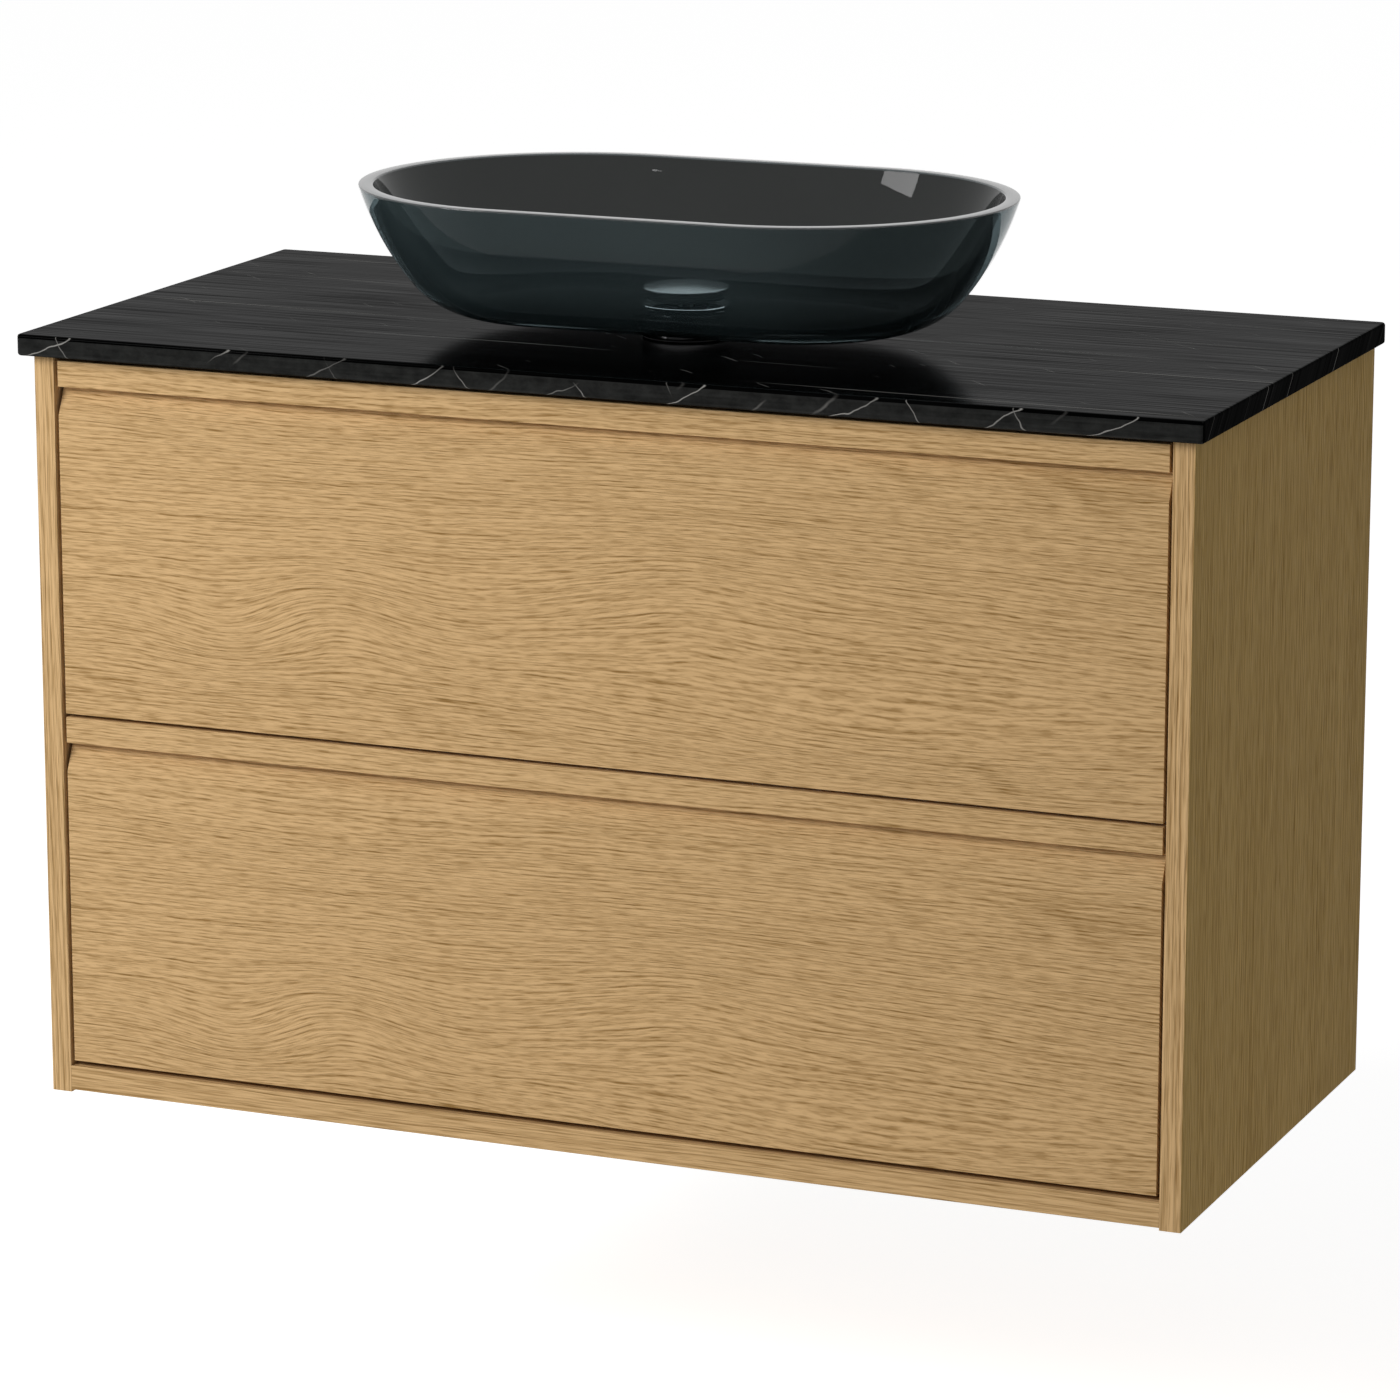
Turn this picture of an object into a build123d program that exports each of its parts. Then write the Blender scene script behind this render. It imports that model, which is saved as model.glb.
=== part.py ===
from build123d import *
import math
import os

# A wall-hung bathroom vanity: a drawer cabinet, a countertop and a glass bowl on it.
# Millimetres. X runs along the front, Y towards the wall and Z up.
# The origin is on the wall, midway between the two hanging bolts.

# Cabinet
cabinet_width = 1000
cabinet_depth = 480
cabinet_height = 630
panel_thickness = 18
panel_softening = 0.6
bottom_thickness = 21
bottom_raise = 2
rail_thickness = 18
rail_depth = 70
lower_rail_height = 70
front_rail_gap = 4
dowel_radius = 4
dowel_length = 34
dowel_seat = 12
dowel_margin = 55
dowel_clearance = 0.15
dowel_end_gap = 0.5

# Wall brackets
bracket_thickness = 3
bracket_height = 70
bracket_leg = 60
bracket_flange = 56
bracket_drop = 2
wall_bolt_hole_radius = 4.5

# Screws, all of one size, and where they sit along a bracket and out on its leg
screw_radius = 2
screw_length = 10
screw_head_radius = 3.8
screw_head_height = 2
screw_clearance = 0.15
screw_end_gap = 0.5
pair_shares = (0.25, 0.75)
leg_share = 0.65

# Countertop and its angle brackets
top_thickness = 18
top_side_overhang = 10
top_front_overhang = 12
top_wall_gap = 2
top_corner_radius = 4
top_edge_radius = 2.5
top_hole_radius = 24
angle_thickness = 2
angle_leg = 36
angle_length = 40
angle_front_margin = 150
angle_back_margin = 130

# Bowl, a stadium in plan
bowl_setback = 194.5
bowl_straight = 200
bowl_rim_radius = 177.4
bowl_height = 121
bowl_foot_gap = 13
bowl_wall = 11.5
bowl_rim_slope = 18.5
bowl_side_slope = 39.5
bowl_side_radius = 235
bowl_foot_radius = 72
bowl_rim_softening = 1.5
drain_hole_radius = 22.5

# Mounting ring and its gaskets
ring_outer_radius = 37.5
ring_inner_radius = 26
ring_edge_radius = 1.5
gasket_thickness = 1
gasket_inset = 1.5

# Waste body
flange_radius = 36
flange_thickness = 1.5
flange_bevel = 0.7
flange_seal_thickness = 0.8
flange_seal_radius = 32
waste_tube_radius = 21
waste_tube_wall = 2.5
waste_tube_drop = 40
crossbar_width = 7
crossbar_height = 4
crossbar_drop = 20
cartridge_radius = 6
cartridge_height = 38
cartridge_floor = 4
washer_thickness = 3
washer_radius = 33
nut_width = 62
nut_height = 10
nut_sides = 6
thread_clearance = 0.3

# Waste cap
cap_radius = 35
cap_rim = 1
cap_crown = 3
drum_radius = 31
drum_wall = 2
drum_height = 7
cap_seal_width = 3.5
cap_seal_thickness = 1.5
cap_travel = 4
cap_clearance = 0.3
stem_radius = 3
stem_clearance = 0.3
stem_engagement = 14

# Waste pipes
pipe_radius = 16
pipe_wall = 2.2
pipe_bend = 28
bend_run = 2
socket_wall = 3.7
socket_depth = 24
socket_clearance = 0.3
shoulder = 3
neck_gap = 1
trap_wall_distance = 46
trap_width = 76
trap_drop = 150
trap_rise = 80
trap_bend_radius = 36
outlet_bend = 20
slip_nut_width = 54
slip_nut_length = 18
slip_nut_lip = 3
slip_nut_sides = 12

# Drawers
front_thickness = 18
front_recess = 1
front_side_gap = 3
front_top_gap = 4
front_middle_gap = 3
front_bottom_gap = 4.4
front_softening = 0.8
grip_strip = 22
grip_depth = 11
grip_slope = 24
box_lift = 16
box_service_space = 91
box_side = 12
box_floor = 8
box_floor_inset = 10
box_groove = 5
box_groove_clearance = 0.2
box_pipe_gap = 7.8
lower_box_height = 220
box_dowel_radius = 3
box_dowel_length = 26
box_dowel_seat = 7
box_dowel_margin = 35
box_bracket_thickness = 2
box_bracket_leg = 40
box_bracket_flange = 26
box_bracket_height = 60
box_bracket_lift = 12

# Telescopic runners
runner_width = 12.7
runner_height = 45
runner_sheet = 1.2
runner_clearance = 0.4
runner_setback = 5
runner_end_gap = 15
runner_lift = 60
runner_screw_margin = 40

# Places that follow, from the cabinet's lower edge, its middle and the wall
half_width = cabinet_width / 2
inner_half = half_width - panel_thickness
front_y = -cabinet_depth
bottom_top = bottom_raise + bottom_thickness
rail_bottom = cabinet_height - rail_thickness
bracket_top = rail_bottom - bracket_drop
bracket_bottom = bracket_top - bracket_height
hang_height = (bracket_top + bracket_bottom) / 2
wall_bolt_x = inner_half - bracket_flange / 2
front_face_y = front_y + front_recess
front_back_y = front_face_y + front_thickness
front_rail_y = front_back_y + front_rail_gap
gaps_total = front_bottom_gap + front_middle_gap + front_top_gap
front_height = (cabinet_height - bottom_top - gaps_total) / 2
lower_front_z = bottom_top + front_bottom_gap
upper_front_z = lower_front_z + front_height + front_middle_gap
box_half = inner_half - runner_width
box_inner_half = box_half - box_side
box_back_y = -box_service_space
runner_y = front_back_y + runner_setback
runner_length = box_back_y - runner_end_gap - runner_y

# Heights at the bowl and along the waste
top_z = cabinet_height + top_thickness
bowl_y = front_y + bowl_setback
bowl_bottom = top_z + bowl_foot_gap
bowl_floor = bowl_bottom + bowl_wall
flange_bottom = bowl_floor + flange_seal_thickness
flange_top = flange_bottom + flange_thickness
cap_seal_bottom = flange_top + cap_travel + cap_clearance
drum_bottom = cap_seal_bottom + cap_seal_thickness
cap_bottom = drum_bottom + drum_height
waste_bore = waste_tube_radius - waste_tube_wall
crossbar_top = top_z - crossbar_drop
cartridge_top = crossbar_top + cartridge_height
tube_bottom = cabinet_height - waste_tube_drop
pipe_bore = pipe_radius - pipe_wall
socket_radius = pipe_radius + socket_clearance + socket_wall
neck_bottom = tube_bottom - socket_depth - slip_nut_lip - neck_gap
elbow_leg = shoulder + bend_run + pipe_bend
cross_z = neck_bottom - elbow_leg
upper_box_height = cross_z - slip_nut_width / 2 - box_pipe_gap - upper_front_z - box_lift
trap_y = -trap_wall_distance
trap_low = cross_z - trap_drop
trap_end = trap_low + trap_rise
outlet_z = trap_end + shoulder + bend_run + outlet_bend

os.makedirs("parts", exist_ok=True)


def save(node, *shapes):
    # lowers the pieces from the cabinet's lower edge to the origin and writes them
    solids = [Pos(0, 0, -hang_height) * solid for shape in shapes for solid in shape.solids()]
    whole = solids[0] if len(solids) == 1 else Compound(children=solids)
    whole.label = node
    export_step(whole, f"parts/{node}.step")


def block(x_span, y_span, z_span):
    spans = (x_span, y_span, z_span)
    middle = [(low + high) / 2 for low, high in spans]
    return Pos(*middle) * Box(*[high - low for low, high in spans])


def rod(start, direction, radius, length):
    return extrude(Plane(origin=start, z_dir=direction) * Circle(radius), amount=length)


def washer(outer, inner, bottom, top):
    # a flat ring round the waste
    section = Pos(0, bowl_y, bottom) * (Circle(outer) - Circle(inner))
    return extrude(section, amount=top - bottom)


def turned(points):
    # a solid turned about the waste's axis from a half outline of radius and height
    outline = Plane.XZ * make_face(Polyline(*points, close=True))
    return Pos(0, bowl_y, 0) * revolve(outline, Axis.Z)


def left(shape):
    return mirror(shape, about=Plane.YZ)


def both(shapes):
    return list(shapes) + [left(shape) for shape in shapes]


def both_seats(seats):
    return seats + [(-x, y, z) for x, y, z in seats]


def screw(seat, direction):
    head = rod(seat, [-part for part in direction], screw_head_radius, screw_head_height)
    return head + rod(seat, direction, screw_radius, screw_length)


def screw_hole(seat, direction):
    return rod(seat, direction, screw_radius + screw_clearance, screw_length + screw_end_gap)


# Joints of the carcass, drawn at the right side panel
right, back, up = (1, 0, 0), (0, 1, 0), (0, 0, 1)
outwards, forwards, down = (-1, 0, 0), (0, -1, 0), (0, 0, -1)
bottom_panel_z = (bottom_raise + bottom_top) / 2
rail_z = (rail_bottom + cabinet_height) / 2
dowel_places = [(y, bottom_panel_z) for y in (front_y + dowel_margin, front_y / 2, -dowel_margin)]
for rail_y in (front_rail_y, -rail_depth):
    dowel_places += [(rail_y + rail_depth * share, rail_z) for share in pair_shares]
dowel_places.append((-rail_thickness / 2, bottom_top + lower_rail_height / 2))


def carcass_dowel(y, z, clearance, end_gap):
    start = (inner_half + dowel_seat + end_gap, y, z)
    return rod(start, outwards, dowel_radius + clearance, dowel_length + 2 * end_gap)


dowels = [carcass_dowel(y, z, 0, 0) for y, z in dowel_places]
dowel_holes = [carcass_dowel(y, z, dowel_clearance, dowel_end_gap) for y, z in dowel_places]
save("carcass_dowels", *both(dowels))

# Wall brackets: a leg on the side panel and a flange on the wall
bracket_heights = [bracket_bottom + bracket_height * share for share in pair_shares]
bracket_seats = [(inner_half - bracket_thickness, -bracket_leg * leg_share, z) for z in bracket_heights]


def wall_bracket():
    z_span = (bracket_bottom, bracket_top)
    leg = block((inner_half - bracket_thickness, inner_half), (-bracket_leg, 0), z_span)
    flange = block((inner_half - bracket_flange, inner_half), (-bracket_thickness, 0), z_span)
    bolt_hole = rod((wall_bolt_x, 0, hang_height), forwards, wall_bolt_hole_radius, bracket_thickness)
    return leg + flange - bolt_hole - [screw_hole(seat, right) for seat in bracket_seats]


save("wall_bracket_left", left(wall_bracket()))
save("wall_bracket_right", wall_bracket())
save("wall_bracket_screws", *both([screw(seat, right) for seat in bracket_seats]))

# Angle brackets that hold the countertop down on the side panels
angle_middles = (front_y + angle_front_margin, -angle_back_margin)
angle_reach = angle_leg * leg_share
angle_side_seats = [(inner_half - angle_thickness, y, cabinet_height - angle_reach) for y in angle_middles]
angle_top_seats = [(inner_half - angle_reach, y, cabinet_height - angle_thickness) for y in angle_middles]


def top_angle(y, side_seat, top_seat):
    y_span = (y - angle_length / 2, y + angle_length / 2)
    corner_x, corner_z = inner_half - angle_leg, cabinet_height - angle_leg
    leg = block((inner_half - angle_thickness, inner_half), y_span, (corner_z, cabinet_height))
    flange = block((corner_x, inner_half), y_span, (cabinet_height - angle_thickness, cabinet_height))
    return leg + flange - screw_hole(side_seat, right) - screw_hole(top_seat, up)


angles = [top_angle(*place) for place in zip(angle_middles, angle_side_seats, angle_top_seats)]
angle_screws = [screw(seat, right) for seat in angle_side_seats]
angle_screws += [screw(seat, up) for seat in angle_top_seats]
save("countertop_brackets", *both(angles))
save("countertop_screws", *both(angle_screws))


# Telescopic runners: three nested channels between a side panel and a drawer side
def channel(web, flange, half, z):
    # web and flange are spans measured inwards from the side panel
    y_span = (runner_y, runner_y + runner_length)
    web_x = (inner_half - web[1], inner_half - web[0])
    flange_x = (inner_half - flange[1], inner_half - flange[0])
    return (block(web_x, y_span, (z - half, z + half))
            + block(flange_x, y_span, (z + half - runner_sheet, z + half))
            + block(flange_x, y_span, (z - half, z - half + runner_sheet)))


runner_half = runner_height / 2
nesting = runner_sheet + runner_clearance
middle_web = ((runner_width - runner_sheet) / 2, (runner_width + runner_sheet) / 2)
runner_near, runner_far = nesting, runner_width - nesting
runner_screw_ys = [runner_y + runner_screw_margin, runner_y + runner_length / 2,
                   runner_y + runner_length - runner_screw_margin]


def runner_members(z):
    fixed = channel((0, runner_sheet), (0, runner_far), runner_half, z)
    middle = channel(middle_web, (runner_near, runner_far), runner_half - nesting, z)
    inner_flange = (middle_web[1] + runner_clearance, runner_width)
    inner = channel((runner_width - runner_sheet, runner_width), inner_flange, runner_half - 2 * nesting, z)
    return fixed, middle, inner


# Drawers: a front with a finger groove, and a box behind it between two runners
def drawer_front(z):
    top = z + front_height
    groove_top = top - grip_strip
    outline = Polyline((front_face_y, z), (front_back_y, z), (front_back_y, top), (front_face_y, top),
                       (front_face_y, groove_top), (front_face_y + grip_depth, groove_top),
                       (front_face_y, groove_top - grip_slope), close=True)
    face = make_face(outline)
    face = fillet(face.vertices(), front_softening)
    half = inner_half - front_side_gap
    return extrude(Plane.YZ.offset(-half) * face, amount=2 * half)


def drawer(name, front_z, box_height):
    z = front_z + box_lift
    floor_z = (z + box_floor_inset, z + box_floor_inset + box_floor)
    box_y = (front_back_y, box_back_y)
    rail_height = z + runner_lift
    fixed, middle, inner = runner_members(rail_height)

    # places of the screws and dowels, at the right side of the box
    fixed_seats = [(inner_half - runner_sheet, y, rail_height) for y in runner_screw_ys]
    inner_seats = [(box_half + runner_sheet, y, rail_height) for y in runner_screw_ys]
    bracket_z = floor_z[1] + box_bracket_lift
    screw_heights = [bracket_z + box_bracket_height * share for share in pair_shares]
    leg_y = front_back_y + box_bracket_leg * leg_share
    leg_seats = [(box_inner_half - box_bracket_thickness, leg_y, height) for height in screw_heights]
    flange_x = box_inner_half - box_bracket_flange * leg_share
    flange_seats = [(flange_x, front_back_y + box_bracket_thickness, height) for height in screw_heights]
    dowel_y = box_back_y - box_side / 2
    dowel_heights = (floor_z[1] + box_dowel_margin, z + box_height - box_dowel_margin)

    def box_dowel(height, clearance, end_gap):
        start = (box_inner_half + box_dowel_seat + end_gap, dowel_y, height)
        return rod(start, outwards, box_dowel_radius + clearance, box_dowel_length + 2 * end_gap)

    box_dowels = [box_dowel(height, 0, 0) for height in dowel_heights]
    box_dowel_holes = [box_dowel(height, dowel_clearance, dowel_end_gap) for height in dowel_heights]
    leg_holes = [screw_hole(seat, right) for seat in leg_seats]
    flange_holes = [screw_hole(seat, forwards) for seat in flange_seats]
    inner_holes = [screw_hole(seat, outwards) for seat in inner_seats]
    fixed_holes = [screw_hole(seat, right) for seat in fixed_seats]

    groove_x = (box_inner_half, box_inner_half + box_groove)
    groove = block(groove_x, box_y, (floor_z[0], floor_z[1] + box_groove_clearance))
    side = block((box_inner_half, box_half), box_y, (z, z + box_height)) - groove
    side = side - leg_holes - inner_holes - box_dowel_holes
    floor_half = box_inner_half + box_groove - box_groove_clearance
    floor = block((-floor_half, floor_half), box_y, floor_z)
    back_y = (box_back_y - box_side, box_back_y)
    rear = block((-box_inner_half, box_inner_half), back_y, (floor_z[1], z + box_height))
    bracket_span = (bracket_z, bracket_z + box_bracket_height)
    bracket_leg_y = (front_back_y, front_back_y + box_bracket_leg)
    bracket_flange_y = (front_back_y, front_back_y + box_bracket_thickness)
    leg = block((box_inner_half - box_bracket_thickness, box_inner_half), bracket_leg_y, bracket_span)
    flange = block((box_inner_half - box_bracket_flange, box_inner_half), bracket_flange_y, bracket_span)
    bracket = leg + flange - leg_holes - flange_holes

    save(f"{name}_drawer_front", drawer_front(front_z) - both(flange_holes))
    save(f"{name}_drawer_side_left", left(side))
    save(f"{name}_drawer_side_right", side)
    save(f"{name}_drawer_back", rear - both(box_dowel_holes))
    save(f"{name}_drawer_bottom", floor)
    save(f"{name}_drawer_dowels", *both(box_dowels))
    save(f"{name}_front_brackets", *both([bracket]))
    drawer_screws = [screw(seat, right) for seat in leg_seats]
    drawer_screws += [screw(seat, forwards) for seat in flange_seats]
    drawer_screws += [screw(seat, outwards) for seat in inner_seats]
    save(f"{name}_drawer_screws", *both(drawer_screws))
    save(f"{name}_runner_inner_left", left(inner - inner_holes))
    save(f"{name}_runner_inner_right", inner - inner_holes)
    save(f"{name}_runner_middle_left", left(middle))
    save(f"{name}_runner_middle_right", middle)
    save(f"{name}_runner_fixed_left", left(fixed - fixed_holes))
    save(f"{name}_runner_fixed_right", fixed - fixed_holes)
    return fixed_seats


runner_seats = drawer("upper", upper_front_z, upper_box_height)
runner_seats += drawer("lower", lower_front_z, lower_box_height)
save("runner_screws", *both([screw(seat, right) for seat in runner_seats]))

# Cabinet panels and rails
def softened(panel, along):
    # rounds the two long front edges of a panel
    return fillet(panel.edges().filter_by(along).sort_by(Axis.Y)[:2], panel_softening)


side_seats = bracket_seats + angle_side_seats + runner_seats
side_panel = softened(block((inner_half, half_width), (front_y, 0), (0, cabinet_height)), Axis.Z)
side_panel = side_panel - dowel_holes - [screw_hole(seat, right) for seat in side_seats]
save("side_panel_left", left(side_panel))
save("side_panel_right", side_panel)

cross_x = (-inner_half, inner_half)
cross_pieces = {
    "bottom_panel": softened(block(cross_x, (front_y, 0), (bottom_raise, bottom_top)), Axis.X),
    "front_rail": block(cross_x, (front_rail_y, front_rail_y + rail_depth), (rail_bottom, cabinet_height)),
    "back_rail": block(cross_x, (-rail_depth, 0), (rail_bottom, cabinet_height)),
    "lower_back_rail": block(cross_x, (-rail_thickness, 0), (bottom_top, bottom_top + lower_rail_height)),
}
for node, piece in cross_pieces.items():
    save(node, piece - both(dowel_holes))


# Countertop with softened edges and the hole for the waste
def countertop():
    slab_half = half_width + top_side_overhang
    slab_y = (front_y - top_front_overhang, -top_wall_gap)
    slab = block((-slab_half, slab_half), slab_y, (cabinet_height, top_z))
    slab = fillet(slab.edges().filter_by(Axis.Z), top_corner_radius)
    by_height = slab.faces().sort_by(Axis.Z)
    slab = fillet(by_height[0].edges() + by_height[-1].edges(), top_edge_radius)
    waste_hole = rod((0, bowl_y, cabinet_height), up, top_hole_radius, top_thickness)
    return slab - waste_hole - [screw_hole(seat, up) for seat in both_seats(angle_top_seats)]


save("countertop", countertop())


# Bowl: its wall is two tangent arcs and a straight flare, carried round a stadium
def bowl_wall_outline():
    foot_turn = math.radians(90 - bowl_side_slope)
    side_turn = math.radians(90 - bowl_rim_slope)
    rise = bowl_foot_radius * (1 - math.cos(foot_turn))
    rise += bowl_side_radius * (math.cos(foot_turn) - math.cos(side_turn))
    reach = bowl_foot_radius * math.sin(foot_turn)
    reach += bowl_side_radius * (math.sin(side_turn) - math.sin(foot_turn))
    flare = (bowl_height - bowl_foot_gap - rise) * math.tan(math.radians(bowl_rim_slope))
    flat = bowl_rim_radius - reach - flare
    foot_centre = Vector(flat, bowl_bottom + bowl_foot_radius)
    centre_shift = bowl_foot_radius - bowl_side_radius
    side_centre = foot_centre + Vector(math.sin(foot_turn), -math.cos(foot_turn)) * centre_shift
    rim_z = top_z + bowl_height

    def arc_point(centre, radius, turn):
        return centre + Vector(math.sin(turn), -math.cos(turn)) * radius

    def wall_line(inset):
        foot, side = bowl_foot_radius - inset, bowl_side_radius - inset
        start = arc_point(foot_centre, foot, 0)
        knee = arc_point(foot_centre, foot, foot_turn)
        shoulder_point = arc_point(side_centre, side, side_turn)
        flare_end = shoulder_point + Vector(math.tan(math.radians(bowl_rim_slope)), 1) * bowl_height
        foot_arc = ThreePointArc(start, arc_point(foot_centre, foot, foot_turn / 2), knee)
        side_middle = arc_point(side_centre, side, (foot_turn + side_turn) / 2)
        side_arc = ThreePointArc(knee, side_middle, shoulder_point)
        return [Line((0, start.Y), start), foot_arc, side_arc, Line(shoulder_point, flare_end)], flare_end

    # the flare runs on past the rim, and the wall is cut off level there
    outside, outer_end = wall_line(0)
    inside, inner_end = wall_line(bowl_wall)
    closing = [Line(outer_end, inner_end), Line((0, bowl_bottom), (0, bowl_floor))]
    above_rim = Rectangle(4 * bowl_rim_radius, 2 * bowl_height, align=(Align.CENTER, Align.MIN))
    face = make_face(outside + inside + closing) - Pos(0, rim_z) * above_rim
    rim_corners = face.vertices().sort_by(Axis.Y)[-2:]
    return fillet(rim_corners, bowl_rim_softening)


def glass_bowl():
    outline = bowl_wall_outline()
    section = Plane.YZ * outline
    middle = extrude(section, amount=bowl_straight / 2, both=True)
    middle = middle + mirror(middle, about=Plane.XZ)
    end = Pos(bowl_straight / 2, 0, 0) * revolve(section, Axis.Z, -180)
    whole = Pos(0, bowl_y, 0) * (middle + end + left(end))
    return whole - rod((0, bowl_y, bowl_bottom), up, drain_hole_radius, bowl_wall)


save("glass_bowl", glass_bowl())

# Mounting ring between the countertop and the bowl, with a gasket on each side
ring_bottom, ring_top = top_z + gasket_thickness, bowl_bottom - gasket_thickness
mounting_ring = washer(ring_outer_radius, ring_inner_radius, ring_bottom, ring_top)
outer_edges = [edge for edge in mounting_ring.edges().filter_by(GeomType.CIRCLE)
               if edge.radius > (ring_outer_radius + ring_inner_radius) / 2]
save("mounting_ring", fillet(outer_edges, ring_edge_radius))
gasket_outer, gasket_inner = ring_outer_radius - gasket_inset, ring_inner_radius
save("ring_gasket", washer(gasket_outer, gasket_inner, top_z, ring_bottom))
save("bowl_seal", washer(gasket_outer, gasket_inner, ring_top, bowl_bottom))

# Waste body: a flange on the bowl's floor and a threaded tube down through the countertop
save("flange_seal", washer(flange_seal_radius, drain_hole_radius, bowl_floor, flange_bottom))
waste_body = turned([
    (waste_bore, flange_top), (flange_radius - flange_bevel, flange_top),
    (flange_radius, flange_top - flange_bevel), (flange_radius, flange_bottom),
    (waste_tube_radius, flange_bottom), (waste_tube_radius, tube_bottom),
    (pipe_radius, tube_bottom), (pipe_radius, neck_bottom),
    (pipe_bore, neck_bottom), (pipe_bore, tube_bottom + waste_tube_wall),
    (waste_bore, tube_bottom + waste_tube_wall)])
crossbar_half = waste_bore + waste_tube_wall / 2
crossbar = block((-crossbar_half, crossbar_half),
                 (bowl_y - crossbar_width / 2, bowl_y + crossbar_width / 2),
                 (crossbar_top - crossbar_height, crossbar_top))
save("waste_flange", waste_body + crossbar)

# Click cartridge on the crossbar; the cap's stem slides in it
stem_bottom = cartridge_top - stem_engagement
cartridge_bore = cartridge_height - cartridge_floor
cartridge = rod((0, bowl_y, crossbar_top), up, cartridge_radius, cartridge_height)
cartridge -= rod((0, bowl_y, cartridge_top), down, stem_radius + stem_clearance, cartridge_bore)
save("click_cartridge", cartridge)

# Washer and lock nut under the countertop
thread_hole = waste_tube_radius + thread_clearance
save("waste_washer", washer(washer_radius, thread_hole, cabinet_height - washer_thickness, cabinet_height))
nut_top = cabinet_height - washer_thickness
nut_outline = RegularPolygon(nut_width / 2, nut_sides, major_radius=False) - Circle(thread_hole)
save("waste_nut", extrude(Pos(0, bowl_y, nut_top - nut_height) * nut_outline, amount=nut_height))


# Waste cap: a low dome on a drum, with a stem under it and a seal round the drum's foot
def waste_cap():
    brim_top = cap_bottom + cap_rim
    crown_top = brim_top + cap_crown
    dome_radius = (cap_radius ** 2 + cap_crown ** 2) / (2 * cap_crown)
    half_drop = dome_radius - math.sqrt(dome_radius ** 2 - cap_radius ** 2 / 4)
    dome = ThreePointArc((0, crown_top), (cap_radius / 2, crown_top - half_drop), (cap_radius, brim_top))
    under = Polyline((cap_radius, brim_top), (cap_radius, cap_bottom), (drum_radius, cap_bottom),
                     (drum_radius, drum_bottom), (drum_radius - drum_wall, drum_bottom),
                     (drum_radius - drum_wall, cap_bottom), (stem_radius, cap_bottom),
                     (stem_radius, stem_bottom), (0, stem_bottom), (0, crown_top))
    outline = Plane.XZ * make_face([dome, under])
    return Pos(0, bowl_y, 0) * revolve(outline, Axis.Z)


save("waste_cap", waste_cap())
save("cap_seal", washer(drum_radius, drum_radius - cap_seal_width, cap_seal_bottom, drum_bottom))


# Waste pipes: pipes end in sockets with a shoulder inside and a slip nut over the mouth
def pipe(points, bend):
    path = FilletPolyline(*points, radius=bend)
    start = Plane(origin=points[0], z_dir=Vector(*points[1]) - Vector(*points[0]))
    return sweep(start * Circle(pipe_radius), path) - sweep(start * Circle(pipe_bore), path)


def mouth_of(floor, inwards):
    return tuple(place - part * socket_depth for place, part in zip(floor, inwards))


def socket(floor, inwards):
    # floor is where the inner pipe stops; inwards points from the mouth to the floor
    mouth = mouth_of(floor, inwards)
    whole = rod(mouth, inwards, socket_radius, socket_depth + shoulder)
    seat = rod(mouth, inwards, pipe_radius + socket_clearance, socket_depth)
    return whole - seat - rod(mouth, inwards, pipe_bore, socket_depth + shoulder)


def slip_nut(floor, inwards):
    mouth = mouth_of(floor, inwards)
    start = tuple(place - part * slip_nut_lip for place, part in zip(mouth, inwards))
    outline = Plane(origin=start, z_dir=inwards) * RegularPolygon(slip_nut_width / 2, slip_nut_sides)
    whole = extrude(outline, amount=slip_nut_length)
    lip_hole = rod(start, inwards, pipe_radius + socket_clearance, slip_nut_length)
    return whole - lip_hole - rod(mouth, inwards, socket_radius + socket_clearance, slip_nut_length)


tail_top = (0, bowl_y, neck_bottom)
tail_end = (0, bowl_y + elbow_leg, cross_z)
cross_end = (0, trap_y - elbow_leg, cross_z)
trap_top = (0, trap_y, cross_z - elbow_leg)
trap_finish = (trap_width, trap_y, trap_end)
sockets = [(tail_top, down), (tail_end, forwards), (cross_end, back), (trap_top, up), (trap_finish, up)]

tail_elbow = pipe([tail_top, (0, bowl_y, cross_z), tail_end], pipe_bend)
save("tail_elbow", tail_elbow + socket(*sockets[0]) + socket(*sockets[1]))
cross_length = cross_end[1] - tail_end[1]
cross_bore = rod(tail_end, back, pipe_bore, cross_length)
save("cross_pipe", rod(tail_end, back, pipe_radius, cross_length) - cross_bore)
trap_elbow = pipe([cross_end, (0, trap_y, cross_z), trap_top], pipe_bend)
save("trap_elbow", trap_elbow + socket(*sockets[2]) + socket(*sockets[3]))
trap_corners = [(0, trap_y, trap_low), (trap_width, trap_y, trap_low)]
save("trap_bend", pipe([trap_top, *trap_corners, trap_finish], trap_bend_radius))
outlet_elbow = pipe([trap_finish, (trap_width, trap_y, outlet_z), (trap_width, 0, outlet_z)], outlet_bend)
save("outlet_elbow", outlet_elbow + socket(*sockets[4]))
save("slip_nuts", *[slip_nut(*place) for place in sockets])
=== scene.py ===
import bpy
import math
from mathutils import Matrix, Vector


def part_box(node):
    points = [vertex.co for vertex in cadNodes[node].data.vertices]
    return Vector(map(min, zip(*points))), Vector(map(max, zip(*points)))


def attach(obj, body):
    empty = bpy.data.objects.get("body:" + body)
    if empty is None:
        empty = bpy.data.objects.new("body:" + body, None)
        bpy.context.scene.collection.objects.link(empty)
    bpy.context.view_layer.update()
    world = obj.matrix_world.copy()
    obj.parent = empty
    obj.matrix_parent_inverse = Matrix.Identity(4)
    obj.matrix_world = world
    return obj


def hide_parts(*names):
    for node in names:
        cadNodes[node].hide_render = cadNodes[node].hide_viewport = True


# Wall-hung vanity with a glass bowl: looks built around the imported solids.
# Metres. X runs along the front, Y towards the wall, Z up; the origin is between the wall bolts.

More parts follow.
